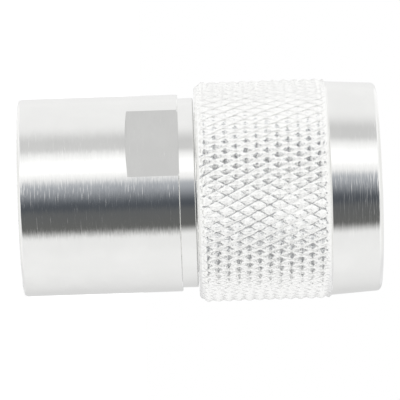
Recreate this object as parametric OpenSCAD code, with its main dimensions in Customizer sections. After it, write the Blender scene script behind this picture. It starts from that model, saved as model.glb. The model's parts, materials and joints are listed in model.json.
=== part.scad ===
// Coaxial type N plug that closes a line: a knurled coupling nut turns on a plug body, and a
// screwed-on housing with wrench flats holds the load behind it.
// Millimetres. The line's axis is Z, the back face lies on Z = 0 and the plug opens towards +Z.

/* [Housing] */
// Outside diameter of the housing
housing_d = 18.5; // [15:0.1:24]
// Length of the housing, from its back face to the collar
housing_len = 14.85; // [12.5:0.05:20]
// Wall of the housing round its screwed joint
housing_wall = 1.75; // [1.3:0.05:2.2]
// Thickness of the closed back
housing_floor = 3; // [2:0.1:4]
// Radius of the back edge
housing_edge_r = 0.6; // [0.2:0.05:0.9]
// Depth of each wrench flat below the housing's surface
flat_depth = 0.75; // [0.4:0.05:1]
// Length of the wrench flats, back from the collar
flat_len = 4.9; // [3:0.1:7]
// Radius that the flats' end walls are bowed to
flat_bow_r = 41; // [15:1:60]

/* [Plug body] */
// Step from the housing down to the collar
collar_step = 0.35; // [0.1:0.05:0.8]
// Length of the collar that shows behind the nut
collar_len = 1.45; // [0.8:0.05:3]
// Length of the neck, from the collar to the gasket's seat
neck_len = 5.4; // [4.4:0.1:8]
// Diameter of the neck that the nut turns on
neck_d = 15; // [13.5:0.1:15.6]
// Length of the screwed spigot inside the housing
spigot_len = 5.9; // [4.8:0.1:7.2]

/* [Coupling nut] */
// Major diameter of the coupling thread
thread_d = 15.875; // [13:0.005:18]
// Depth of the coupling thread
thread_depth = 0.54; // [0.4:0.01:0.65]
// Wall of the nut, from the thread's major diameter to the tops of the knurl
nut_wall = 2.4625; // [2:0.0005:3.2]
// Radius of the nut's back edge
nut_edge_r = 0.8; // [0.5:0.05:1]
// Length of the smooth nose in front of the knurl
nose_len = 4.65; // [3:0.05:7]
// Depth of the plain mouth in front of the thread
mouth_len = 1.4; // [0.8:0.1:2.5]

/* [Knurl] */
// Depth of the diamond knurl
knurl_depth = 0.32; // [0.25:0.01:0.4]
// Pitch of the knurl round the nut
knurl_pitch_round = 0.99; // [0.8:0.01:2]
// Pitch of the knurl along the nut
knurl_pitch_along = 1.93; // [1.2:0.01:4]

/* [Contacts] */
// Inside diameter of the outer contact
line_d = 7; // [6:0.1:7.4]
// Wall of the outer contact's fingers
contact_wall = 0.55; // [0.4:0.05:0.8]
// Reach of the outer contact, from the gasket's seat to the mating plane
contact_reach = 10.1; // [8.5:0.1:12.5]
// Depth of the mating plane inside the nut's mouth
contact_recess = 1.6; // [1.4:0.1:3]
// Number of slots between the fingers
finger_slots = 6; // [4:1:8]
// Width of a slot
slot_w = 0.4; // [0.3:0.05:0.6]
// Direction of the first slot, in degrees from +X
slot_turn = 22.5; // [0:0.5:90]
// Diameter of the centre pin's body
pin_d = 3.04; // [2.6:0.01:3.4]
// Diameter of the centre pin's tip
pin_tip_d = 1.65; // [1.4:0.01:1.9]
// Distance from the mating plane back to the pin's shoulder
pin_shoulder = 5.3; // [4.5:0.1:6.5]

/* [Seals and ring] */
// Thickness of the face gasket
gasket_t = 1.5; // [1:0.1:2]
// Width of the retaining ring along the axis
ring_w = 1; // [0.8:0.05:1.1]
// Height of the retaining ring's section
ring_h = 1.1; // [0.9:0.05:1.3]
// Open gap in the retaining ring, in degrees
ring_gap = 24; // [10:1:50]

/* [Load] */
// Diameter of the resistor rod
rod_d = 2.2; // [1.8:0.05:2.4]
// Length of the resistor rod
rod_len = 6.5; // [5.4:0.1:7.2]
// Wall of the metal caps on the rod
rod_cap_wall = 0.15; // [0.1:0.01:0.2]
// Thickness of the disc spring
spring_t = 0.35; // [0.25:0.05:0.45]
// Height that the disc spring takes up
spring_h = 0.9; // [0.7:0.05:1.1]

/* [Hidden] */
$fn = 96;

// Clearances
turn_clear = 0.08;   // between the nut and what it turns on
screw_clear = 0.05;  // round a screwed or pushed-in piece
seat_clear = 0.02;   // round a pressed piece
cut = 1;             // how far a cut runs past the face it opens

// Small edges
edge = 0.2;          // chamfer on a turned edge
mouth_edge = 0.25;   // chamfer inside the nut's mouth
nose_edge_r = 0.45;  // radius of the nose's front edge

// Places along the axis
collar_z = housing_len;
neck_z = collar_z + collar_len;
seat_z = neck_z + neck_len;
mating_z = seat_z + contact_reach;
front_z = mating_z + contact_recess;
nut_z = neck_z + turn_clear;
spigot_z = collar_z - spigot_len;

// Housing and plug body
housing_r = housing_d / 2;
spigot_bore_r = housing_r - housing_wall;
sleeve_bore_r = spigot_bore_r - 0.9;
neck_r = neck_d / 2;
lip_r = neck_r + turn_clear;
collar_r = max(housing_r - collar_step, lip_r + collar_step);
line_r = line_d / 2;

// Bead, pressed into the plug body behind the outer contact
bead_wall = 1.2;
bead_r = line_r + bead_wall;
bead_len = 3;
contact_spigot_len = 2.5;
bead_z = seat_z - contact_spigot_len - bead_len;
bead_rib_len = 2;    // length of the rib that locks the pin
bead_rib_h = 0.42;   // height of that rib

// Outer contact and gasket
contact_r = line_r + contact_wall;
shoulder_r = contact_r + 1.15;
shoulder_len = 1.3;
slot_len = contact_reach - shoulder_len - 1.3;
gasket_in_r = shoulder_r + screw_clear;
gasket_out_r = neck_r - screw_clear;

// Nut
nut_r = thread_d / 2 + nut_wall;
root_r = nut_r - knurl_depth;
core_r = root_r - 0.08;
nose_back_r = nut_r - 0.2;
nose_mid_r = nut_r - 0.45;
nose_front_r = nut_r - 0.62;
nose_ease = 1.2;     // length of the steeper start of the nose
lip_len = 1.4;
land_len = 1.2;
ring_play = 0.2;     // free play of the ring in the nut's groove
ring_side = 0.05;    // clearance on each side of the ring in the neck's groove
thread_minor_r = thread_d / 2 - thread_depth;
relief_r = max(thread_d / 2, neck_r) + 0.16;
mouth_r = thread_d / 2 + 0.11;
relief_end_z = seat_z + gasket_t + 0.5;
mouth_z = front_z - mouth_len;

// Retaining ring, half in the neck's groove and half in the nut's. The neck's groove is as deep as
// the ring is high, so the ring can be squeezed into it while the nut's lip passes over.
ring_floor = ring_h + screw_clear;
ring_in_r = neck_r - ring_h / 2;
ring_out_r = ring_in_r + ring_h;
ring_z = nut_z + lip_len + ring_play / 2;
ring_groove_r = ring_out_r + 2 * turn_clear;

// Knurl lattice: rows of peaks and groove crossings that change places from row to row. Two plain
// rings on the back edge's rounding come before it, so that the grooves run out over that edge.
knurl_z = nut_z + nut_edge_r;
knurl_end_z = front_z - nose_len;
edge_middle = 45;    // angle of the second plain ring on the rounding
edge_start = 20;     // angle of the first
edge_sink = 0.1;     // how far the second lies below the tops of the knurl
knurl_rows = round(2 * (knurl_end_z - knurl_z) / knurl_pitch_along);
knurl_teeth = 2 * round(PI * nut_r / knurl_pitch_round);
knurl_in_r = core_r - 0.3;
knurl_overrun = 0.1; // how far the knurl's last row runs into the nose
knurl_last_r = nose_back_r - 0.03;

// Seal of the screwed joint
seal_groove = 0.75;
seal_w = 1.1;
seal_z = collar_z - 0.4 - seal_w / 2;
seal_r = (seal_groove + screw_clear) / 2 - seat_clear;

// Load, from the closed back forward
rod_r = rod_d / 2;
cap_r = rod_r + seat_clear + rod_cap_wall;
cap_len = 1.2;
cap_floor = 0.2;
socket_r = cap_r + seat_clear;
spring_in_r = cap_r + 1.95;
spring_out_r = sleeve_bore_r - 0.4;
sleeve_z = housing_floor + spring_h;
cap_rear_z = sleeve_z + 0.3;
rod_z = cap_rear_z + cap_floor;
rod_end_z = rod_z + rod_len;
cap_front_end_z = rod_end_z + cap_floor;
pin_socket_end_z = cap_front_end_z + 0.2;
pin_z = cap_front_end_z - cap_len - 0.3;
pin_tip_z = mating_z - 0.2;
pin_r = pin_d / 2;
pin_tip_r = pin_tip_d / 2;
pin_socket_r = max(pin_r, socket_r + 0.48);
pin_socket_wall_end_z = pin_socket_end_z + 0.9;
pin_nose_r = 0.5;
collet_r = socket_r + 0.93;
collet_flange_r = collet_r + 0.6;
collet_flange_t = 0.5;
collet_len = 2.1;
sleeve_r = sleeve_bore_r - screw_clear;
sleeve_end_z = spigot_z;
throat_r = collet_r + 0.1;
throat_z = sleeve_z + collet_len + 0.2;

// Colours of the metals and of the plain parts
nickel = [0.80, 0.80, 0.79];
gold = [0.86, 0.70, 0.38];
ptfe = [0.95, 0.95, 0.93];
silicone = [0.72, 0.20, 0.12];
nitrile = [0.08, 0.08, 0.09];
ceramic = [0.88, 0.87, 0.82];
silver = [0.86, 0.86, 0.85];
spring_steel = [0.62, 0.62, 0.64];

// ---- small helpers -------------------------------------------------------------------------

// A rectangle of a turned section: radius from r0 to r1, height from z0 to z1
module band(r0, r1, z0, z1) {
    translate([r0, z0]) square([r1 - r0, z1 - z0]);
}

// What rounding off takes from a section's outer corner at [r, z]; up is 1 for an upper corner
module round_off(r, z, radius, up) {
    over = 0.1;
    translate([r, z]) mirror([0, up > 0 ? 0 : 1]) difference() {
        translate([-radius, -radius]) square(radius + over);
        translate([-radius, -radius]) circle(radius);
    }
}

// Slots cut from the front of a tube, from z up, each through one wall
module slots(count, width, reach, z, length) {
    for (i = [0:count - 1])
        rotate([0, 0, i * 360 / count])
            translate([0, -width / 2, z]) cube([reach, width, length]);
}

// ---- housing -------------------------------------------------------------------------------

// The half-plane beyond a flat, ended by a wall that bows back along the housing
module flat_cutter() {
    across = 2 * housing_d;
    intersection() {
        translate([-across / 2, housing_r - flat_depth, collar_z - flat_len])
            cube([across, housing_d, flat_len + cut]);
        translate([0, 0, collar_z - flat_len + flat_bow_r])
            rotate([-90, 0, 0]) cylinder(r = flat_bow_r, h = housing_d, $fn = 180);
    }
}

module rear_housing() {
    color(nickel) difference() {
        rotate_extrude() difference() {
            union() {
                band(0, housing_r, 0, collar_z - edge);
                polygon([[0, collar_z - edge], [housing_r, collar_z - edge],
                         [housing_r - edge, collar_z], [0, collar_z]]);
            }
            round_off(housing_r, 0, housing_edge_r, -1);
            band(0, sleeve_bore_r, housing_floor, collar_z + cut);
            band(0, spigot_bore_r, spigot_z - 0.1, collar_z + cut);
        }
        flat_cutter();
        rotate([0, 0, 180]) flat_cutter();
    }
}

// ---- plug body and what it carries ---------------------------------------------------------

module plug_body() {
    spigot_r = spigot_bore_r - screw_clear;
    color(nickel) rotate_extrude() difference() {
        union() {
            band(0, spigot_r, spigot_z, collar_z);
            band(0, collar_r, collar_z, neck_z);
            band(0, neck_r, neck_z, seat_z - edge);
            polygon([[0, seat_z - edge], [neck_r, seat_z - edge],
                     [neck_r - edge, seat_z], [0, seat_z]]);
        }
        band(0, line_r, spigot_z - cut, seat_z + cut);
        band(0, bead_r, bead_z, seat_z + cut);
        band(spigot_r - seal_groove, spigot_r + cut, seal_z - seal_w / 2, seal_z + seal_w / 2);
        band(neck_r - ring_floor, neck_r + cut, ring_z - ring_side, ring_z + ring_w + ring_side);
    }
}

module outer_contact() {
    chamfer = 0.2;
    color(gold) difference() {
        rotate_extrude() difference() {
            union() {
                band(0, bead_r - seat_clear, seat_z - contact_spigot_len, seat_z);
                band(0, shoulder_r, seat_z, seat_z + shoulder_len);
                band(0, contact_r, seat_z + shoulder_len, mating_z - chamfer);
                polygon([[0, mating_z - chamfer], [contact_r, mating_z - chamfer],
                         [contact_r - chamfer, mating_z], [0, mating_z]]);
            }
            band(0, line_r, seat_z - contact_spigot_len - cut, mating_z + cut);
        }
        rotate([0, 0, slot_turn])
            slots(finger_slots, slot_w, 2 * contact_r, mating_z - slot_len, slot_len + cut);
    }
}

module face_gasket() {
    color(silicone) rotate_extrude()
        band(gasket_in_r, gasket_out_r, seat_z, seat_z + gasket_t);
}

module front_bead() {
    rib_z = bead_z + (bead_len - bead_rib_len) / 2;
    color(ptfe) rotate_extrude() difference() {
        band(0, bead_r - seat_clear, bead_z, bead_z + bead_len);
        band(0, pin_r + seat_clear, bead_z - cut, rib_z);
        band(0, pin_r - bead_rib_h + seat_clear, bead_z, bead_z + bead_len);
        band(0, pin_r + seat_clear, rib_z + bead_rib_len, bead_z + bead_len + cut);
    }
}

module center_pin() {
    rib_z = bead_z + (bead_len - bead_rib_len) / 2;
    shoulder_z = mating_z - pin_shoulder;
    shoulder_edge = 0.25;
    color(gold) difference() {
        rotate_extrude() difference() {
            union() {
                band(0, pin_socket_r, pin_z, pin_socket_wall_end_z);
                band(0, pin_r, pin_socket_wall_end_z, shoulder_z - shoulder_edge);
                polygon([[0, shoulder_z - shoulder_edge], [pin_r, shoulder_z - shoulder_edge],
                         [pin_r - shoulder_edge, shoulder_z], [0, shoulder_z]]);
                band(0, pin_tip_r, shoulder_z, pin_tip_z);
            }
            round_off(pin_tip_r, pin_tip_z, pin_nose_r, 1);
            band(pin_r - bead_rib_h, pin_r + cut, rib_z - seat_clear, rib_z + bead_rib_len + seat_clear);
            band(0, socket_r, pin_z - cut, pin_socket_end_z);
        }
        slots(4, 0.3, pin_d, pin_z - cut, pin_socket_end_z - pin_z + cut - 0.2);
    }
}

// ---- coupling nut --------------------------------------------------------------------------

module nut_core() {
    rotate_extrude() difference() {
        union() {
            difference() {
                band(0, core_r, nut_z, knurl_end_z);
                round_off(core_r, nut_z, nut_edge_r - (nut_r - core_r), -1);
            }
            polygon([[0, knurl_end_z], [nose_back_r, knurl_end_z],
                     [nose_mid_r, knurl_end_z + nose_ease], [0, knurl_end_z + nose_ease]]);
            difference() {
                polygon([[0, knurl_end_z + nose_ease], [nose_mid_r, knurl_end_z + nose_ease],
                         [nose_front_r, front_z], [0, front_z]]);
                round_off(nose_front_r, front_z, nose_edge_r, 1);
            }
        }
        band(0, lip_r, nut_z - cut, seat_z);
        band(0, ring_groove_r, nut_z + lip_len, nut_z + lip_len + ring_w + ring_play);
        thread_section();
    }
}

// Relief, thread at its minor diameter, and the plain mouth, as one section to cut
module thread_section() {
    relief_z = nut_z + lip_len + ring_w + ring_play + land_len;
    relief_step = relief_r - thread_minor_r;
    mouth_step = mouth_r - thread_minor_r;
    band(0, relief_r, relief_z, relief_end_z);
    polygon([[0, relief_end_z], [relief_r, relief_end_z],
             [thread_minor_r, relief_end_z + relief_step], [thread_minor_r, mouth_z - mouth_step],
             [mouth_r, mouth_z], [mouth_r, front_z - mouth_edge],
             [mouth_r + mouth_edge + cut, front_z + cut], [0, front_z + cut]]);
}

// One ring of the knurl's lattice at row k: peaks and crossings in turn, the last row's peaks lower
function knurl_ring(k) =
    let (last = k == knurl_rows,
         z = knurl_z + (knurl_end_z - knurl_z) * k / knurl_rows + (last ? knurl_overrun : 0),
         peak_r = last ? knurl_last_r : nut_r)
    [for (i = [0:2 * knurl_teeth - 1])
        let (r = (i + k) % 2 == 1 ? peak_r : root_r, a = i * 180 / knurl_teeth)
        [r * cos(a), r * sin(a), z]];

function plain_ring(r, z) =
    [for (i = [0:2 * knurl_teeth - 1])
        let (a = i * 180 / knurl_teeth) [r * cos(a), r * sin(a), z]];

// A plain ring on the rounding of the nut's back edge, t degrees up from the back face
function edge_ring(t, sink) =
    plain_ring(nut_r - nut_edge_r * (1 - sin(t)) - sink, nut_z + nut_edge_r * (1 - cos(t)));

// The knurled band as one closed surface: rings on the back edge, rings of the lattice, then back
// inside the core. Between two rows each cell is split along its groove, from crossing to crossing.
module knurl_band() {
    n = 2 * knurl_teeth;
    rings = [edge_ring(edge_start, 0), edge_ring(edge_middle, edge_sink),
             each [for (k = [0:knurl_rows]) knurl_ring(k)],
             plain_ring(knurl_in_r, knurl_end_z + knurl_overrun),
             plain_ring(knurl_in_r, nut_z + nut_edge_r * (1 - cos(edge_start)))];
    count = len(rings);
    points = [for (ring = rings) each ring];
    faces = [for (k = [0:count - 1]) for (i = [0:n - 1])
        let (next = (k + 1) % count, j = (i + 1) % n,
             a = k * n + i, b = k * n + j, c = next * n + j, d = next * n + i)
        each ((i + k) % 2 == 0 ? [[a, d, c], [a, c, b]] : [[a, d, b], [b, d, c]])];
    polyhedron(points = points, faces = faces);
}

module coupling_nut() {
    color(nickel) union() {
        nut_core();
        knurl_band();
    }
}

module retaining_ring() {
    color(spring_steel) rotate([0, 0, ring_gap / 2])
        rotate_extrude(angle = 360 - ring_gap)
            band(ring_in_r, ring_out_r, ring_z, ring_z + ring_w);
}

// ---- load ----------------------------------------------------------------------------------

module load_rod() {
    color(ceramic) translate([0, 0, rod_z]) cylinder(r = rod_r, h = rod_len);
}

// A cap whose closed end lies at z = 0
module rod_cap() {
    color(silver) rotate_extrude() difference() {
        band(0, cap_r, 0, cap_len);
        band(0, rod_r + seat_clear, cap_floor, cap_len + cut);
    }
}

module rod_cap_front() {
    translate([0, 0, cap_front_end_z]) mirror([0, 0, 1]) rod_cap();
}

module rod_cap_rear() {
    translate([0, 0, cap_rear_z]) rod_cap();
}

// The outer conductor round the rod: wide at the plug, narrow at the short circuit
module taper_sleeve() {
    taper_z = sleeve_end_z - 0.3;
    color(nickel) rotate_extrude() difference() {
        band(0, sleeve_r, sleeve_z, sleeve_end_z);
        polygon([[0, sleeve_z - cut], [collet_flange_r + seat_clear, sleeve_z - cut],
                 [collet_flange_r + seat_clear, sleeve_z + collet_flange_t],
                 [collet_r + seat_clear, sleeve_z + collet_flange_t],
                 [collet_r + seat_clear, throat_z], [throat_r, throat_z],
                 [line_r, taper_z], [line_r, sleeve_end_z + cut], [0, sleeve_end_z + cut]]);
    }
}

module ground_collet() {
    color(gold) difference() {
        rotate_extrude() difference() {
            union() {
                band(0, collet_flange_r, sleeve_z, sleeve_z + collet_flange_t);
                band(0, collet_r, sleeve_z, sleeve_z + collet_len);
            }
            band(0, socket_r, sleeve_z - cut, sleeve_z + collet_len + cut);
        }
        slots(4, 0.3, 2 * collet_r, sleeve_z + collet_flange_t + 0.2, collet_len);
    }
}

module disc_spring() {
    color(spring_steel) translate([0, 0, housing_floor]) rotate_extrude()
        polygon([[spring_out_r, 0], [spring_out_r, spring_t],
                 [spring_in_r, spring_h], [spring_in_r, spring_h - spring_t]]);
}

module housing_seal() {
    color(nitrile) rotate_extrude()
        translate([spigot_bore_r - (seal_groove + screw_clear) / 2, seal_z]) circle(seal_r);
}

rear_housing();
plug_body();
coupling_nut();
retaining_ring();
face_gasket();
outer_contact();
center_pin();
front_bead();
load_rod();
rod_cap_front();
rod_cap_rear();
taper_sleeve();
ground_collet();
disc_spring();
housing_seal();
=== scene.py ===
"""Looks of a coaxial type N plug: turned and knurled nickel-plated brass, its inner parts and its studio.

Run as a script. Everything is in metres in the packed part's frame: the line's axis is Z, the closed
back stands on Z = 0 and the plug opens upwards. The coupling nut rides on body "nut", the rest on "plug".
"""
import json
import math

import bmesh
import bpy
import numpy as np
from bpy.props import FloatProperty, FloatVectorProperty, IntProperty, PointerProperty
from mathutils import Matrix, Vector


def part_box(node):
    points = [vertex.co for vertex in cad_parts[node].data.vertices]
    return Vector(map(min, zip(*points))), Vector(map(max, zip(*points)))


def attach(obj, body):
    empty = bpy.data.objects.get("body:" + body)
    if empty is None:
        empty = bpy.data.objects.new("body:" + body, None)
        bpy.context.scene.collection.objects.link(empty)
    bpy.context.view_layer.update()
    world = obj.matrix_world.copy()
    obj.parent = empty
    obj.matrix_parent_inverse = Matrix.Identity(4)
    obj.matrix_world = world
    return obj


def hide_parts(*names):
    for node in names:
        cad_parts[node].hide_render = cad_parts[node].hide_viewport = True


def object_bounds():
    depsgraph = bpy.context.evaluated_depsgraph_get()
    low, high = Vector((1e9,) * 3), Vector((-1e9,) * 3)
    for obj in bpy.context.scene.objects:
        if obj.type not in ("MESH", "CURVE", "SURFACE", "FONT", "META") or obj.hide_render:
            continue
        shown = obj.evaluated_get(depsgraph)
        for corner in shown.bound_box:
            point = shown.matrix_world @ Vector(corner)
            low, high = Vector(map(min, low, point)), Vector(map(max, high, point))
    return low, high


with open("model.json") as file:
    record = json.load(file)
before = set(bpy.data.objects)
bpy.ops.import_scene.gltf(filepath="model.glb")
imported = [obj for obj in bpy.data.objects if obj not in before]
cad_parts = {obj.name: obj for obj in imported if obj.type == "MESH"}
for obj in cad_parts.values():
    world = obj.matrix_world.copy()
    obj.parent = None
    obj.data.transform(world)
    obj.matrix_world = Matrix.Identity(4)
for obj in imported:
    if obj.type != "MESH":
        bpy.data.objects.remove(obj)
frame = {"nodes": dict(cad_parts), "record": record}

bl_info = {
    "name": "Type N plug looks",
    "version": (1, 0, 0),
    "blender": (4, 5, 0),
    "location": "3D View > Sidebar > Plug",
    "description": "Meshes, finishes and studio of a coaxial plug with a knurled coupling nut",
    "category": "Object",
}

MM = 0.001
TAU = 2 * math.pi
PLUG = "plug"
NUT = "nut"
CAD_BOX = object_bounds()


# ---- places, some read from the packed part and some given -----------------------------------


def low(node):
    """Lowest Z of a packed node."""
    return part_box(node)[0][2]


def high(node):
    """Highest Z of a packed node."""
    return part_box(node)[1][2]


def radius(node):
    """Outer radius of a packed node about the line's axis."""
    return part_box(node)[1][0]


HOUSING_R = radius("rear_housing")
HOUSING_TOP = high("rear_housing")
COLLAR_R = radius("plug_body")
NUT_R = radius("coupling_nut")
NUT_BACK = low("coupling_nut")
NUT_FRONT = high("coupling_nut")
SEAT_Z = high("plug_body")
GASKET_TOP = high("face_gasket")
GASKET_R = radius("face_gasket")
MATING_Z = high("outer_contact")
SHOULDER_R = radius("outer_contact")
PIN_TIP_Z = high("center_pin")
PIN_BACK = low("center_pin")
PIN_SOCKET_R = radius("center_pin")
BEAD_Z = low("front_bead")
BEAD_TOP = high("front_bead")
BEAD_R = radius("front_bead")
NECK_R = 7.5 * MM
LIP_R = 7.58 * MM
CONTACT_R = 4.05 * MM
LINE_R = 3.5 * MM
PIN_R = 1.52 * MM
PIN_TIP_R = 0.825 * MM
HOUSING_WALL = 1.75 * MM
HOUSING_FLOOR = 3 * MM
SPIGOT_INSET = 1.8 * MM
NUT_GAP = 0.08 * MM
NOSE_LENGTH = 4.65 * MM
THREAD_R = 15.875 / 2 * MM
ON_AXIS = 1e-5
KNURLED = (NUT_BACK + 0.2 * MM, NUT_FRONT - 4.8 * MM)
# lighter nickel for the knurled band: a painted highlight for the knurl's bright facets, the same plate as
# the rest
KNURL_PAINTED_HIGHLIGHT_COLOUR = (0.89, 0.89, 0.88)


# ---- what a user would change ----------------------------------------------------------------


class KnurlSettings(bpy.types.PropertyGroup):
    """Knurl and thread of the coupling nut."""

    starts: IntProperty(
        name="Starts", description="Grooves round the nut in each direction", default=66, min=24, max=80)
    pitch_along: FloatProperty(
        name="Pitch along", description="Length of one diamond along the nut",
        default=1.93 * MM, unit="LENGTH")
    depth_left: FloatProperty(
        name="Left-hand depth", description="Depth of the left-hand grooves",
        default=0.42 * MM, unit="LENGTH")
    depth_right: FloatProperty(
        name="Right-hand depth", description="Depth of the right-hand grooves", default=0.36 * MM,
        unit="LENGTH")
    blunt: FloatProperty(
        name="Blunting", description="How far the tops and edges of the diamonds are worn down",
        default=0.08 * MM, unit="LENGTH")
    roughened: FloatProperty(
        name="Roughening", description="Height of the grain that the knurling leaves", default=0.006 * MM,
        unit="LENGTH")
    thread_pitch: FloatProperty(
        name="Thread pitch", description="Pitch of the coupling thread",
        default=25.4 / 24 * MM, unit="LENGTH")
    thread_depth: FloatProperty(
        name="Thread depth", description="Depth of the coupling thread", default=0.54 * MM, unit="LENGTH")


class BodySettings(bpy.types.PropertyGroup):
    """Edges and flats of the turned pieces."""

    back_edge: FloatProperty(
        name="Back edge", description="Radius of the housing's back edge", default=0.3 * MM, unit="LENGTH")
    front_edge: FloatProperty(
        name="Front edge", description="Chamfer of the housing's front edge",
        default=0.08 * MM, unit="LENGTH")
    flat_depth: FloatProperty(
        name="Flat depth", description="Depth of each wrench flat", default=0.75 * MM, unit="LENGTH")
    flat_length: FloatProperty(
        name="Flat length", description="Length of the wrench flats", default=4.9 * MM, unit="LENGTH")
    flat_bow: FloatProperty(
        name="Flat bow", description="Radius that the flats' end walls are bowed to", default=41 * MM,
        unit="LENGTH")
    slots: IntProperty(
        name="Slots", description="Slots between the outer contact's fingers", default=6, min=4, max=8)
    slot_turn: FloatProperty(
        name="Slot turn", description="Direction of the first slot from +X", default=math.radians(22.5),
        unit="ROTATION")


class FinishSettings(bpy.types.PropertyGroup):
    """Colours of the metals and of the plain parts."""

    nickel: FloatVectorProperty(
        name="Nickel", description="Bright nickel plate", default=(0.80, 0.80, 0.79), subtype="COLOR")
    gold: FloatVectorProperty(
        name="Gold", description="Gold plate of the contacts", default=(0.86, 0.66, 0.32), subtype="COLOR")
    ptfe: FloatVectorProperty(
        name="PTFE", description="Turned white insulator", default=(0.86, 0.86, 0.84), subtype="COLOR")
    silicone: FloatVectorProperty(
        name="Silicone", description="Rubber of the face gasket",
        default=(0.42, 0.05, 0.03), subtype="COLOR")
    nitrile: FloatVectorProperty(
        name="Nitrile", description="Rubber of the housing's seal",
        default=(0.02, 0.02, 0.022), subtype="COLOR")
    steel: FloatVectorProperty(
        name="Steel", description="Bare spring steel", default=(0.50, 0.50, 0.52), subtype="COLOR")
    ceramic: FloatVectorProperty(
        name="Ceramic", description="Rod of the resistor", default=(0.62, 0.60, 0.54), subtype="COLOR")


class StudioSettings(bpy.types.PropertyGroup):
    """Camera, surround and floor."""

    azimuth: FloatProperty(
        name="Azimuth", description="Camera's angle round the part",
        default=math.radians(33), unit="ROTATION")
    elevation: FloatProperty(
        name="Elevation", description="Camera's angle above the part's middle", default=math.radians(-0.08),
        unit="ROTATION")
    tilt: FloatProperty(
        name="Tilt", description="How far the lying part's front end rises in the picture",
        default=math.radians(1.9), unit="ROTATION")
    aside: FloatProperty(
        name="Aside", description="How far to the back of the part's middle the camera looks",
        default=0.02 * MM, unit="LENGTH")
    below: FloatProperty(
        name="Below", description="How far below the part's axis the camera looks", default=0.73 * MM,
        unit="LENGTH")
    distance: FloatProperty(
        name="Distance", description="Camera's distance from the part", default=0.32, unit="LENGTH")
    lens: FloatProperty(name="Lens", description="Focal length in millimetres", default=306.3, min=20)
    floor: FloatVectorProperty(
        name="Floor", description="Pale floor", default=(0.88, 0.88, 0.88), subtype="COLOR")


# ---- meshes ----------------------------------------------------------------------------------


def arc(r, z, radius_, start, stop, steps=8):
    """Points on a circle of radius_ round (r, z): r + radius_ cos t, z + radius_ sin t, t in degrees."""
    t = np.radians(np.linspace(start, stop, steps + 1))
    return np.stack([r + radius_ * np.cos(t), z + radius_ * np.sin(t)], 1)


def outline(*stretches):
    """One (radius, height) outline from points and arcs in order, doubled points dropped."""
    pts = np.concatenate([np.atleast_2d(np.asarray(s, float)) for s in stretches])
    keep = np.r_[True, np.linalg.norm(np.diff(pts, axis=0), axis=1) > 1e-8]
    return pts[keep]


def grid_faces(rows, columns, closed_rows):
    """Quads of a grid whose columns wrap round; its rows wrap too if closed_rows.

    Vertex (i, j) has index i * columns + j. Each quad is (i, j), (i, j + 1), (i + 1, j + 1) and
    (i + 1, j).
    """
    last = rows if closed_rows else rows - 1
    i, j = np.meshgrid(np.arange(last), np.arange(columns), indexing="ij")
    up, right = (i + 1) % rows, (j + 1) % columns
    corners = [i * columns + j, i * columns + right, up * columns + right, up * columns + j]
    return np.stack(corners, -1).reshape(-1, 4)


def revolved(r, z, angle):
    """Points (r cos a, r sin a, z), for arrays of a row per outline point and a column per angle."""
    return np.stack([r * np.cos(angle), r * np.sin(angle), z], -1).reshape(-1, 3)


def mesh_object(name, points, faces, sharp=24.0):
    """A mesh object from arrays, with doubled points merged, empty faces dropped and creases marked."""
    mesh = bpy.data.meshes.new(name)
    mesh.from_pydata(points.tolist(), [], [face.tolist() for face in faces])
    work = bmesh.new()
    work.from_mesh(mesh)
    bmesh.ops.remove_doubles(work, verts=work.verts, dist=1e-7)
    bmesh.ops.dissolve_degenerate(work, edges=work.edges, dist=1e-7)
    bmesh.ops.recalc_face_normals(work, faces=work.faces)
    work.to_mesh(mesh)
    work.free()
    mesh.shade_smooth()
    mesh.set_sharp_from_angle(angle=math.radians(sharp))
    piece = bpy.data.objects.new(name, mesh)
    bpy.context.scene.collection.objects.link(piece)
    return piece


def ring(profile, columns):
    """A closed outline in (radius, height) revolved about Z.

    Point k at angle a is (r_k cos a, r_k sin a, z_k).
    """
    angle = np.arange(columns) * TAU / columns
    r = np.repeat(profile[:, :1], columns, 1)
    z = np.repeat(profile[:, 1:], columns, 1)
    return revolved(r, z, angle), list(grid_faces(len(profile), columns, True))


def turned(name, profile, columns=192, sharp=24.0):
    """A turned piece of that outline."""
    return mesh_object(name, *ring(profile, columns), sharp)


def placed(piece, body, slot, *nodes):
    """Rides the piece on its body and hides the packed nodes that it stands for; slot is not used."""
    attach(piece, body)
    if nodes:
        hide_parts(*nodes)
    return piece


# ---- shader expressions ----------------------------------------------------------------------


class Wire:
    """A shader value. Python's operators on it add Math nodes."""

    def __init__(self, tree, socket):
        self.tree = tree
        self.socket = socket

    def math(self, operation, *others):
        return self.tree.node("ShaderNodeMath", {"operation": operation}, [self, *others]).out()

    def __add__(self, other):
        return self.math("ADD", other)

    def __mul__(self, other):
        return self.math("MULTIPLY", other)

    def __sub__(self, other):
        return self.math("SUBTRACT", other)

    def __rsub__(self, other):
        return self.tree.node("ShaderNodeMath", {"operation": "SUBTRACT"}, [other, self]).out()

    def __truediv__(self, other):
        return self.math("DIVIDE", other)

    __radd__ = __add__
    __rmul__ = __mul__

    def above(self, edge, soft):
        """0 below edge, 1 above edge + soft, with a smooth ramp between."""
        limits = [self, edge, soft + edge, 0.0, 1.0]
        return self.tree.node("ShaderNodeMapRange", {"interpolation_type": "SMOOTHSTEP"}, limits).out()


class Built:
    """A node that was just made, with its sockets by name or number."""

    def __init__(self, tree, node):
        self.tree = tree
        self.node = node

    def out(self, key=0):
        return Wire(self.tree, self.node.outputs[key])


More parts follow.
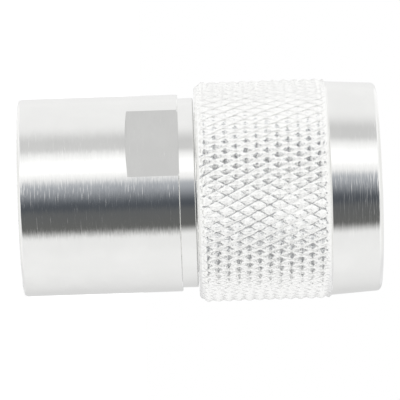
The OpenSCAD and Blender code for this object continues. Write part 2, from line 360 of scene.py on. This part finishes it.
class Tree:
    """Adds nodes to a node tree from plain calls."""

    def __init__(self, node_tree):
        self.nodes = node_tree.nodes
        self.links = node_tree.links
        self.nodes.clear()

    def set(self, socket, value):
        if isinstance(value, Wire):
            self.links.new(value.socket, socket)
        else:
            socket.default_value = value

    def node(self, kind, settings=None, values=()):
        """A node of this kind: its settings first, then its sockets, by place or, in a dict, by name."""
        made = self.nodes.new(kind)
        for key, value in (settings or {}).items():
            if key == "stops":
                self.stops(made.color_ramp, value)
            else:
                setattr(made, key, value)
        items = values.items() if isinstance(values, dict) else enumerate(values)
        for key, value in items:
            self.set(made.inputs[key], value)
        return Built(self, made)

    def stops(self, ramp, stops):
        while len(ramp.elements) > 1:
            ramp.elements.remove(ramp.elements[-1])
        for k, (place, colour) in enumerate(stops):
            element = ramp.elements[0] if k == 0 else ramp.elements.new(place)
            element.position = place
            element.color = (*colour, 1.0)

    def vector(self, operation, *values):
        return self.node("ShaderNodeVectorMath", {"operation": operation}, values)

    def mix(self, factor, a, b):
        """Colour a where factor is 0 and b where it is 1."""
        made = self.node("ShaderNodeMix", {"data_type": "RGBA"})
        for place, value in ((0, factor), (6, a), (7, b)):
            self.set(made.node.inputs[place], value)
        return made.out(2)

    def noise(self, vector, scale, detail=2.0, rough=0.5):
        values = {"Vector": vector, "Scale": scale, "Detail": detail, "Roughness": rough}
        return self.node("ShaderNodeTexNoise", {}, values).out()


def rgba(colour):
    return (*colour, 1.0)


def surface(name, build):
    """A material whose Principled BSDF is filled in by build(tree, principled)."""
    material = bpy.data.materials.new(name)
    material.use_nodes = True
    tree = Tree(material.node_tree)
    principled = tree.node("ShaderNodeBsdfPrincipled")
    tree.node("ShaderNodeOutputMaterial", {}, [principled.out()])
    build(tree, principled.node.inputs)
    return material


def wear(tree):
    """Position in millimetres, the angle round Z times a radius of 9 mm, and the height in millimetres."""
    place = tree.vector("SCALE", tree.node("ShaderNodeTexCoord").out("Object"))
    place.node.inputs["Scale"].default_value = 1 / MM
    apart = tree.node("ShaderNodeSeparateXYZ", {}, [place.out()])
    x, y, z = apart.out(0), apart.out(1), apart.out(2)
    usual_radius = 9.0
    around = y.math("ARCTAN2", x) * usual_radius
    return place.out(), around, z


def turned_metal(name, colour, roughness, marks, scoring=0.0, band=(0.0, 0.0), dull=0.0):
    """Plated metal with faint turning marks: ridges that run round the part and vary along it.

    Some of them are scored, and duller by scoring. Between the two heights of band it is duller by dull,
    and its base colour is lighter there: a painted highlight for the knurl's bright facets.
    """

    def build(tree, inputs):
        place, around, z = wear(tree)
        marks_round, marks_along = 0.4, 5.0
        lathe = tree.node("ShaderNodeCombineXYZ", {}, [around * marks_round, z * marks_along, 0.0]).out()
        fine = tree.noise(lathe, 1.0, 2.0, 0.6)
        scored = tree.noise(lathe, 1.3, 2.0, 0.6).above(0.52, 0.14)
        patch = tree.noise(place, 0.35, 2.0)
        tint = tree.mix(patch.above(0.35, 0.4), rgba([c * 0.97 for c in colour]), rgba(colour))
        banded = z.above(band[0] / MM, 0.1) * (1 - z.above(band[1] / MM, 0.1))
        # over the knurled band the base colour is lighter: painted highlight, not a different finish
        tree.set(inputs["Base Color"], tree.mix(banded, tint, rgba(KNURL_PAINTED_HIGHLIGHT_COLOUR)))
        inputs["Metallic"].default_value = 1.0
        tree.set(inputs["Roughness"], patch * 0.04 + scored * scoring + banded * dull + (roughness - 0.02))
        grit_height = 3.2
        grit = tree.noise(place, 5.0, 3.0, 0.7) * grit_height
        height = fine + banded * (grit - fine)
        relief = {"Strength": marks, "Distance": 0.045 * MM, "Height": height}
        bump = tree.node("ShaderNodeBump", {}, relief)
        tree.set(inputs["Normal"], bump.out())

    return surface(name, build)


def plain_matter(name, colour, roughness, grain, grain_size, coat=0.0):
    """A plain rubber, plastic or ceramic with a fine grain in its colour, roughness and surface."""

    def build(tree, inputs):
        place, _, _ = wear(tree)
        fine = tree.noise(place, grain_size, 3.0, 0.6)
        patch = tree.noise(place, 0.5, 2.0)
        tree.set(inputs["Base Color"], tree.mix(patch, rgba([c * 0.92 for c in colour]), rgba(colour)))
        tree.set(inputs["Roughness"], fine * 0.1 + (roughness - 0.05))
        inputs["Coat Weight"].default_value = coat
        relief = {"Strength": grain, "Distance": 0.03 * MM, "Height": fine}
        bump = tree.node("ShaderNodeBump", {}, relief)
        tree.set(inputs["Normal"], bump.out())

    return surface(name, build)


def material(name):
    """The finish of that name, made the first time it is asked for.

    Its title ends in _finish, because the packed nodes bring a plain material of the name itself.
    """
    title = name + "_finish"
    if title in bpy.data.materials:
        return bpy.data.materials[title]
    finish = bpy.context.scene.plug_finish
    makers = {
        "housing_nickel": lambda: turned_metal(title, finish.nickel, 0.08, 0.65, 0.06),
        "body_nickel": lambda: turned_metal(title, finish.nickel, 0.08, 0.1),
        "nut_nickel": lambda: turned_metal(title, finish.nickel, 0.08, 0.4, 0.06, KNURLED, 0.12),
        "contact_gold": lambda: turned_metal(title, finish.gold, 0.16, 0.08),
        "silver_plate": lambda: turned_metal(title, (0.86, 0.86, 0.85), 0.2, 0.1),
        "spring_steel": lambda: turned_metal(title, finish.steel, 0.25, 0.2),
        "ptfe": lambda: plain_matter(title, finish.ptfe, 0.42, 0.15, 3.0),
        "silicone": lambda: plain_matter(title, finish.silicone, 0.55, 0.25, 9.0),
        "nitrile": lambda: plain_matter(title, finish.nitrile, 0.5, 0.25, 9.0),
        "ceramic": lambda: plain_matter(title, finish.ceramic, 0.35, 0.15, 6.0, 0.3),
    }
    return makers[name]()


def finished(piece, name):
    piece.data.materials.clear()
    piece.data.materials.append(material(name))
    return piece


# ---- pieces ----------------------------------------------------------------------------------


class PLUG_OT_rear_housing(bpy.types.Operator):
    """Closed housing with a rounded back edge and two wrench flats"""

    bl_idname = "plug.rear_housing"
    bl_label = "Rear housing"

    def execute(self, context):
        s = context.scene.plug_body
        half_flat = HOUSING_R - s.flat_depth
        reach = math.acos(half_flat / HOUSING_R)
        columns_flat, columns_round = 40, 56
        quarter = [np.linspace(-reach, reach, columns_flat, endpoint=False),
                   np.linspace(reach, math.pi - reach, columns_round, endpoint=False)]
        angle = np.concatenate([*quarter, *[q + math.pi for q in quarter]]) - math.pi / 2
        from_flat = (angle + math.pi / 2) % math.pi
        from_flat = np.minimum(from_flat, math.pi - from_flat)
        on_flat = from_flat < reach + 1e-9
        flat_r = np.where(on_flat, half_flat / np.cos(np.minimum(from_flat, reach)), HOUSING_R)
        across = HOUSING_R * np.sin(np.minimum(from_flat, reach))
        wall_z = HOUSING_TOP - s.flat_length + s.flat_bow - np.sqrt(s.flat_bow ** 2 - across ** 2)
        back, front, edge = s.back_edge, HOUSING_TOP - s.front_edge, s.front_edge
        bore = HOUSING_R - HOUSING_WALL
        even_top = 9.8 * MM
        full = np.full_like(angle, HOUSING_R)
        zero = full * 0
        rows = [(zero + bore * 0.9, zero), (full - back, zero)]
        rows += [(zero + p[0], zero + p[1]) for p in arc(HOUSING_R - back, back, back, -90, 0)[1:]]
        rows += [(full, zero + h) for h in np.linspace(back, even_top, 12)[1:]]
        rows += [(full, wall_z), (flat_r, wall_z)]
        rows += [(flat_r, wall_z + (front - wall_z) * t) for t in np.linspace(0, 1, 7)[1:]]
        rows += [(np.minimum(flat_r, HOUSING_R - edge), zero + HOUSING_TOP)]
        rows += [(zero + bore, zero + HOUSING_TOP), (zero + bore, zero + HOUSING_FLOOR),
                 (zero + ON_AXIS, zero + HOUSING_FLOOR), (zero + ON_AXIS, zero)]
        r = np.array([row[0] for row in rows])
        z = np.array([row[1] for row in rows])
        faces = grid_faces(len(r), len(angle), True)
        piece = mesh_object("rear_housing_turned", revolved(r, z, angle), faces, 14)
        placed(finished(piece, "housing_nickel"), PLUG, "housing_nickel", "rear_housing")
        return {"FINISHED"}


class PLUG_OT_plug_body(bpy.types.Operator):
    """Plug body: screwed spigot, collar and the neck that the nut turns on"""

    bl_idname = "plug.plug_body"
    bl_label = "Plug body"

    def execute(self, context):
        spigot_r = HOUSING_R - SPIGOT_INSET
        spigot_z = low("plug_body")
        neck_z = NUT_BACK - NUT_GAP
        edge = 0.2 * MM
        soft = 0.12 * MM
        profile = outline(
            (LINE_R, spigot_z), (spigot_r, spigot_z), (spigot_r, HOUSING_TOP),
            (COLLAR_R - 0.02 * MM, HOUSING_TOP), arc(COLLAR_R - soft, neck_z - soft, soft, 0, 90, 4),
            (NECK_R, neck_z), (NECK_R, SEAT_Z - edge), (NECK_R - edge, SEAT_Z),
            (BEAD_R + 0.02 * MM, SEAT_Z), (BEAD_R + 0.02 * MM, BEAD_Z), (LINE_R, BEAD_Z))
        piece = turned("plug_body_turned", profile)
        placed(finished(piece, "body_nickel"), PLUG, "body_nickel", "plug_body")
        return {"FINISHED"}


def knurl_cut(turns, along, s):
    """Depth below the tops at a place given in turns round the nut and diamonds along it.

    A right-hand groove lies where starts * turns - along is whole and a left-hand one where their sum
    is. With t the distance from a groove, 0 in it and 1 midway to the next, it is depth * (1 - t) *
    (1 - 0.25 (1 - t)) deep, a little rounded at its bottom. The deeper cut counts, and the edges
    between the two are blunted: (a + b + sqrt((a - b)^2 + blunt^2)) / 2. A slow ripple of a few percent
    keeps the diamonds from being all alike.
    """
    def groove(place, depth, ripple):
        t = np.abs(place - np.round(place)) * 2
        return depth * ripple * (1 - t) * (1 - 0.25 * (1 - t))

    ripple = 1 + 0.04 * np.sin(TAU * (5 * turns + along * 0.37))
    ripple = ripple + 0.03 * np.sin(TAU * (11 * turns - along * 0.81))
    right = groove(s.starts * turns - along, s.depth_right, ripple)
    left = groove(s.starts * turns + along, s.depth_left, 2 - ripple)
    return (left + right + np.sqrt((left - right) ** 2 + s.blunt ** 2)) / 2


def stitch(outer, inner, per):
    """Faces between a ring of len(inner) * per vertices and one of len(inner): a fan and a triangle each."""
    count = len(inner)
    k = np.arange(count)
    fans = [np.stack([outer[k * per + m], outer[(k * per + m + 1) % len(outer)], inner[k]], 1)
            for m in range(per)]
    closing = np.stack([outer[(k * per + per) % len(outer)], inner[(k + 1) % count], inner[k]], 1)
    return np.concatenate([*fans, closing])


class PLUG_OT_coupling_nut(bpy.types.Operator):
    """Coupling nut: one closed surface with its knurl, smooth nose and inner thread"""

    bl_idname = "plug.coupling_nut"
    bl_label = "Coupling nut"

    def execute(self, context):
        s = context.scene.plug_knurl
        per_start = 12
        fine = s.starts * per_start
        coarse = fine // 4
        nose_z = NUT_FRONT - NOSE_LENGTH
        edge = 0.8 * MM
        rim = 0.25 * MM
        # the knurled band runs from the back face over its rounded edge to a small chamfer at the nose
        step = s.pitch_along / per_start
        rounding = arc(NUT_R - edge, NUT_BACK + edge, edge, -90, 0, 10)
        row_count = round((nose_z - rim - NUT_BACK - edge) / step)
        heights = np.linspace(NUT_BACK + edge, nose_z - rim, row_count)[1:]
        drop, drop_from, drop_length = 0.12 * MM, 0.9 * MM, 0.6 * MM
        tops = NUT_R - drop * np.clip((heights - nose_z + drop_from) / drop_length, 0, 1)
        band = outline(rounding, np.stack([tops, heights], 1))
        count = np.arange(len(band))
        back_rows, front_rows = 4.0, 2.0
        fade = np.clip((count - 1) / back_rows, 0, 1)
        fade = fade * np.clip((len(band) - 1 - count) / front_rows, 0, 1)
        angle = np.arange(fine) * TAU / fine
        turns = angle / TAU
        along = (band[:, 1] - nose_z) / s.pitch_along
        grain = np.random.default_rng(5).uniform(-1, 1, (len(band), fine))
        grain = (grain + np.roll(grain, 1, 1) + np.roll(grain, 1, 0)) * s.roughened
        cut = np.maximum(knurl_cut(turns[None, :], along[:, None], s) + grain, 0) * fade[:, None]
        normal_r = np.ones(len(band))
        normal_z = np.zeros(len(band))
        bend = np.radians(np.linspace(-90, 0, len(rounding)))
        normal_r[:len(rounding)] = np.cos(bend)
        normal_z[:len(rounding)] = np.sin(bend)
        knurl_r = band[:, :1] - cut * normal_r[:, None]
        knurl_z = band[:, 1:] - cut * normal_z[:, None]
        points = [revolved(knurl_r, knurl_z, angle)]
        rows = len(band)
        i, j = np.meshgrid(np.arange(rows - 1), np.arange(fine), indexing="ij")
        a, b = i * fine + j, i * fine + (j + 1) % fine
        c, d = (i + 1) * fine + (j + 1) % fine, (i + 1) * fine + j
        mid_turns = (j + 0.5) / fine
        mid_along = (along[i] + along[i + 1]) / 2
        rising = s.starts * mid_turns - mid_along
        falling = s.starts * mid_turns + mid_along
        near_rising = np.abs(rising - np.round(rising)) < np.abs(falling - np.round(falling))
        first = np.where(near_rising[..., None], np.stack([a, b, c], -1), np.stack([a, b, d], -1))
        second = np.where(near_rising[..., None], np.stack([a, c, d], -1), np.stack([b, c, d], -1))
        faces = [first.reshape(-1, 3), second.reshape(-1, 3)]
        # the rest of the outline, from the chamfer at the nose round the mouth and back inside
        minor_r = THREAD_R - s.thread_depth
        mouth_r = THREAD_R + 0.11 * MM
        mouth_z = NUT_FRONT - 1.4 * MM
        relief_r = THREAD_R + 0.16 * MM
        relief_z = SEAT_Z + 2 * MM
        nose_edge = 0.45 * MM
        nose_r = NUT_R - 0.62 * MM
        nose_foot_r = NUT_R - 0.36 * MM
        mouth_edge = 0.25 * MM
        nose = outline(
            (nose_foot_r, nose_z),
            arc(nose_r - nose_edge, NUT_FRONT - nose_edge, nose_edge, 0, 90),
            (mouth_r + mouth_edge, NUT_FRONT), (mouth_r, NUT_FRONT - mouth_edge), (mouth_r, mouth_z))
        thread_rows = 12
        thread_top = mouth_z - (mouth_r - minor_r)
        thread_low = relief_z + (relief_r - minor_r)
        thread_heights = np.arange(thread_top, thread_low, -s.thread_pitch / thread_rows)
        groove_r = 8.21 * MM
        groove_low, groove_high = NUT_BACK + 1.4 * MM, NUT_BACK + 2.6 * MM
        relief_low = NUT_BACK + 3.95 * MM
        inside = outline(
            (relief_r, relief_z), (relief_r, relief_low), (LIP_R, relief_low), (LIP_R, groove_high),
            (groove_r, groove_high), (groove_r, groove_low), (LIP_R, groove_low), (LIP_R, NUT_BACK))
        turn = np.arange(coarse) * TAU / coarse
        phase = (thread_heights[:, None] / s.thread_pitch - turn[None, :] / TAU) % 1
        ridge = np.clip(np.abs(phase - 0.5) * 2 * 1.25 - 0.125, 0, 1)
        runout = np.clip((thread_top - thread_heights) / (0.9 * s.thread_pitch), 0, 1)
        thread_rows_r = minor_r + s.thread_depth * (1 - (1 - ridge) * runout[:, None])
        spread = lambda pts, col: np.repeat(pts[:, col:col + 1], coarse, 1)
        rest_r = np.concatenate([spread(nose, 0), thread_rows_r, spread(inside, 0)])
        rest_z = np.concatenate(
            [spread(nose, 1), np.repeat(thread_heights[:, None], coarse, 1), spread(inside, 1)])
        points.append(revolved(rest_r, rest_z, turn))
        start = rows * fine
        rest_rows = len(rest_r)
        quads = grid_faces(rest_rows, coarse, False) + start
        faces += [quads[:, [0, 1, 2]], quads[:, [0, 2, 3]]]
        loop = lambda first_index, count: first_index + np.arange(count)
        faces.append(stitch(loop((rows - 1) * fine, fine), loop(start, coarse), 4))
        faces.append(stitch(loop(0, fine), loop(start + (rest_rows - 1) * coarse, coarse), 4)[:, ::-1])
        piece = mesh_object("coupling_nut_knurled", np.concatenate(points), np.concatenate(faces), 40)
        placed(finished(piece, "nut_nickel"), NUT, "nut_nickel", "coupling_nut")
        return {"FINISHED"}


def shells(*parts):
    """Several closed grids of (points, faces) as one, their faces' numbers moved up to follow each other."""
    points, faces, base = [], [], 0
    for part_points, part_faces in parts:
        points.append(part_points)
        faces += [face + base for face in part_faces]
        base += len(part_points)
    return np.concatenate(points), faces


def finger(profile, start, stop, columns=18):
    """A sector of a turned outline between two angles, closed at both ends by the outline itself."""
    angle = np.linspace(start, stop, columns)
    r = np.repeat(profile[:, :1], columns, 1)
    z = np.repeat(profile[:, 1:], columns, 1)
    rows = len(profile)
    i, j = np.meshgrid(np.arange(rows), np.arange(columns - 1), indexing="ij")
    up = (i + 1) % rows
    quads = np.stack([i * columns + j, i * columns + j + 1, up * columns + j + 1, up * columns + j], -1)
    caps = [np.arange(rows)[::-1] * columns, np.arange(rows) * columns + columns - 1]
    return revolved(r, z, angle), [*quads.reshape(-1, 4), *caps]


class PLUG_OT_contacts(bpy.types.Operator):
    """Gasket, PTFE bead, pin and the slotted outer contact"""

    bl_idname = "plug.contacts"
    bl_label = "Contacts"

    def execute(self, context):
        soft = 0.15 * MM
        inner = SHOULDER_R + 0.05 * MM
        gasket = outline(
            arc(inner + soft, SEAT_Z + soft, soft, 180, 270, 4),
            arc(GASKET_R - soft, SEAT_Z + soft, soft, -90, 0, 4),
            arc(GASKET_R - soft, GASKET_TOP - soft, soft, 0, 90, 4),
            arc(inner + soft, GASKET_TOP - soft, soft, 90, 180, 4))
        piece = turned("face_gasket_moulded", gasket, 128)
        placed(finished(piece, "silicone"), PLUG, "silicone", "face_gasket")

        step = 0.12 * MM
        bead = outline(
            (PIN_R, BEAD_Z), (BEAD_R - step, BEAD_Z), (BEAD_R, BEAD_Z + step), (BEAD_R, BEAD_TOP - step),
            (BEAD_R - step, BEAD_TOP), (PIN_R, BEAD_TOP))
        placed(finished(turned("front_bead_turned", bead, 128), "ptfe"), PLUG, "ptfe", "front_bead")

        chamfer = 0.2 * MM
        slot_z = SEAT_Z + 2.6 * MM
        slot = 0.4 * MM
        base = outline((LINE_R, BEAD_TOP), (BEAD_R, BEAD_TOP), (BEAD_R, SEAT_Z), (SHOULDER_R, SEAT_Z),
                       (SHOULDER_R, SEAT_Z + 1.3 * MM), (CONTACT_R, SEAT_Z + 1.3 * MM), (CONTACT_R, slot_z),
                       (LINE_R, slot_z))
        prong = outline((LINE_R, slot_z), (CONTACT_R, slot_z), (CONTACT_R, MATING_Z - chamfer),
                        (CONTACT_R - chamfer, MATING_Z), (LINE_R, MATING_Z))
        s = context.scene.plug_body
        half = slot / 2 / CONTACT_R
        spacing = TAU / s.slots
        turns = [s.slot_turn + k * TAU / s.slots for k in range(s.slots)]
        fingers = [finger(prong, a + half, a + spacing - half) for a in turns]
        points, faces = shells(ring(base, 128), *fingers)
        contact = mesh_object("outer_contact_slotted", points, faces)
        placed(finished(contact, "contact_gold"), PLUG, "contact_gold", "outer_contact")

        shoulder_z = MATING_Z - 5.3 * MM
        socket_top = BEAD_Z - 2 * MM
        bevel = 0.25 * MM
        nose = 0.5 * MM
        pin = outline(
            (ON_AXIS, PIN_BACK), (PIN_SOCKET_R, PIN_BACK), (PIN_SOCKET_R, socket_top), (PIN_R, socket_top),
            (PIN_R, shoulder_z - bevel), (PIN_R - bevel, shoulder_z), (PIN_TIP_R, shoulder_z),
            arc(PIN_TIP_R - nose, PIN_TIP_Z - nose, nose, 0, 90, 10), (ON_AXIS, PIN_TIP_Z))
        piece = turned("center_pin_turned", pin, 96)
        placed(finished(piece, "contact_gold"), PLUG, "contact_gold", "center_pin")
        return {"FINISHED"}


class PLUG_OT_inner_finishes(bpy.types.Operator):
    """Finishes of the packed nodes that keep their own meshes"""

    bl_idname = "plug.inner_finishes"
    bl_label = "Inner finishes"

    def execute(self, context):
        slots = {s["node"]: s["material_slot"] for s in frame["record"]["subparts"]}
        for name, node in frame["nodes"].items():
            finished(node, slots[name])
        return {"FINISHED"}


# ---- studio ----------------------------------------------------------------------------------


class PLUG_OT_studio(bpy.types.Operator):
    """Pale floor, soft surround and the camera"""

    bl_idname = "plug.studio"
    bl_label = "Studio"

    def execute(self, context):
        s = context.scene.plug_studio
        centre = (Vector(CAD_BOX[0]) + Vector(CAD_BOX[1])) / 2
        aim = Vector((0, 0, -s.aside)) - s.below * Vector((-math.cos(s.azimuth), -math.sin(s.azimuth), 0))
        a, e = s.azimuth, s.elevation
        back = Vector((math.sin(a) * math.cos(e), -math.cos(a) * math.cos(e), math.sin(e)))
        self.camera(context, s, centre + aim, back)
        self.surround(context, a)
        self.floor(s)
        context.scene.view_settings.view_transform = "Standard"
        return {"FINISHED"}

    def camera(self, context, s, centre, back):
        data = bpy.data.cameras.new("camera")
        data.lens = s.lens
        data.sensor_width = 36
        data.clip_start, data.clip_end = 0.01, 10
        camera = bpy.data.objects.new("camera", data)
        context.scene.collection.objects.link(camera)
        right = Vector((0, 0, 1)) - back * back.z
        right.normalize()
        up = back.cross(right)
        level = Matrix((right, up, back)).transposed()
        camera.matrix_world = (
            Matrix.Translation(centre + back * s.distance)
            @ (level @ Matrix.Rotation(-s.tilt, 3, "Z")).to_4x4())
        context.scene.camera = camera

    def surround(self, context, azimuth):
        """World light by direction: white all round, with a dark, a bright and a grey strip by the camera."""
        world = bpy.data.worlds.new("surround")
        context.scene.world = world
        world.use_nodes = True
        tree = Tree(world.node_tree)
        way = tree.node("ShaderNodeTexCoord").out("Generated")
        back = (math.sin(azimuth), -math.cos(azimuth), 0.0)
        up = (-math.cos(azimuth), -math.sin(azimuth), 0.0)
        toward = tree.vector("DOT_PRODUCT", way, back).out("Value")
        side = tree.vector("DOT_PRODUCT", way, up).out("Value")
        height = tree.node("ShaderNodeSeparateXYZ", {}, [way]).out(2)
        turn = side.math("ARCTAN2", toward) * (180 / math.pi)
        strips = self.strips(tree, turn, (
            (-180, 0.72), (-165, 0.76), (-150, 0.81), (-140, 0.87), (-128, 0.95), (-118, 1.0), (-98, 1.06),
            (-76, 1.07), (-60, 1.03), (0, 1.03), (16, 1.04), (20, 1.10), (24, 1.20), (28, 1.36), (40, 1.34),
            (45, 1.2), (49, 1.1), (53, 0.90), (56, 0.76), (68, 0.745), (74, 0.84), (78, 0.93), (82, 1.0),
            (86, 1.05), (92, 1.08), (138, 1.08), (152, 1.02), (162, 0.97), (170, 0.93), (180, 0.89)))
        level = height.above(-0.36, 0.16) * (1 - height.above(0.26, 0.10))
        far = height.math("ABSOLUTE").above(0.66, 0.14)
        sides = tree.mix(turn.above(-125.0, 55.0), rgba((0.95, 0.95, 0.96)), rgba((1.17, 1.17, 1.17)))
        light = tree.mix(level, tree.mix(far, sides, rgba((1.05, 1.05, 1.04))), strips)
        upper = turn.above(-16.0, 26.0)
        low_edge = height.above(upper * 0.3 - 0.58, 0.34 - upper * 0.22)
        narrow = low_edge * (1 - height.above(0.24 - upper * 0.02, 0.34 - upper * 0.22))
        dark = narrow * (1 - turn.above(11.0, 9.0)) * turn.above(-52.0, 14.0)
        tone = self.strips(tree, turn, (
            (-50, (0.17, 0.17, 0.16)), (-20, (0.14, 0.145, 0.15)), (-14, (0.095, 0.105, 0.12)),
            (14, (0.11, 0.125, 0.15))))
        tone = tree.mix(turn.above(-12.0, 26.0) * 0.5, tone, rgba((0.92, 0.95, 1.0)))
        light = tree.mix(dark, light, tone)
        seen = tree.node("ShaderNodeLightPath").out("Is Camera Ray")
        colour = tree.mix(seen, light, rgba((1.0, 1.0, 1.0)))
        shine = tree.node("ShaderNodeBackground", {}, [colour, 1.0])
        tree.node("ShaderNodeOutputWorld", {}, [shine.out()])

    def strips(self, tree, turn, stops):
        """A colour by angle in degrees: plain numbers are greys. The ramp holds half of each colour."""
        held = []
        for degrees, value in stops:
            colour = np.ones(3) * value / 2
            held.append((0.5 + degrees / 360, tuple(colour.tolist())))
        ramp = tree.node("ShaderNodeValToRGB", {"stops": held}, [turn / 360.0 + 0.5]).out()
        doubled = tree.vector("SCALE", ramp)
        doubled.node.inputs["Scale"].default_value = 2.0
        return doubled.out()

    def floor(self, s):
        size = 0.6
        mesh = bpy.data.meshes.new("floor")
        corners = [(-size, -size, 0), (size, -size, 0), (size, size, 0), (-size, size, 0)]
        mesh.from_pydata(corners, [], [(0, 1, 2, 3)])
        floor = bpy.data.objects.new("floor", mesh)
        bpy.context.scene.collection.objects.link(floor)
        material = bpy.data.materials.new("floor")
        material.use_nodes = True
        tree = Tree(material.node_tree)
        path = tree.node("ShaderNodeLightPath")
        matt = tree.node("ShaderNodeBsdfDiffuse", {}, [rgba(s.floor)]).out()
        glow = path.out("Is Camera Ray") * 0.28
        white = tree.node("ShaderNodeEmission", {}, [rgba((1, 1, 1)), glow]).out()
        both = tree.node("ShaderNodeAddShader", {}, [matt, white]).out()
        clear = tree.node("ShaderNodeBsdfTransparent").out()
        look = tree.node("ShaderNodeMixShader", {}, [path.out("Is Glossy Ray"), both, clear]).out()
        tree.node("ShaderNodeOutputMaterial", {}, [look])
        mesh.materials.append(material)


# ---- panel and registration ------------------------------------------------------------------

STEPS = (PLUG_OT_rear_housing, PLUG_OT_plug_body, PLUG_OT_coupling_nut, PLUG_OT_contacts,
         PLUG_OT_inner_finishes, PLUG_OT_studio)
SETTINGS = {"plug_knurl": KnurlSettings, "plug_body": BodySettings, "plug_finish": FinishSettings,
            "plug_studio": StudioSettings}


class PLUG_PT_panel(bpy.types.Panel):
    """Lists the plug's pieces and its studio."""

    bl_label = "Type N plug"
    bl_idname = "PLUG_PT_panel"
    bl_space_type = "VIEW_3D"
    bl_region_type = "UI"
    bl_category = "Plug"

    def draw(self, context):
        for step in STEPS:
            self.layout.operator(step.bl_idname)
        for name, settings in SETTINGS.items():
            box = self.layout.box()
            box.label(text=settings.__doc__)
            for key in settings.__annotations__:
                box.prop(getattr(context.scene, name), key)


def register():
    for cls in (*SETTINGS.values(), *STEPS, PLUG_PT_panel):
        bpy.utils.register_class(cls)
    for name, settings in SETTINGS.items():
        setattr(bpy.types.Scene, name, PointerProperty(type=settings))


def unregister():
    for name in SETTINGS:
        delattr(bpy.types.Scene, name)
    for cls in reversed((*SETTINGS.values(), *STEPS, PLUG_PT_panel)):
        bpy.utils.unregister_class(cls)


def main():
    register()
    bpy.ops.plug.inner_finishes()
    bpy.ops.plug.rear_housing()
    bpy.ops.plug.plug_body()
    bpy.ops.plug.coupling_nut()
    bpy.ops.plug.contacts()
    bpy.ops.plug.studio()


if __name__ == "__main__":
    main()
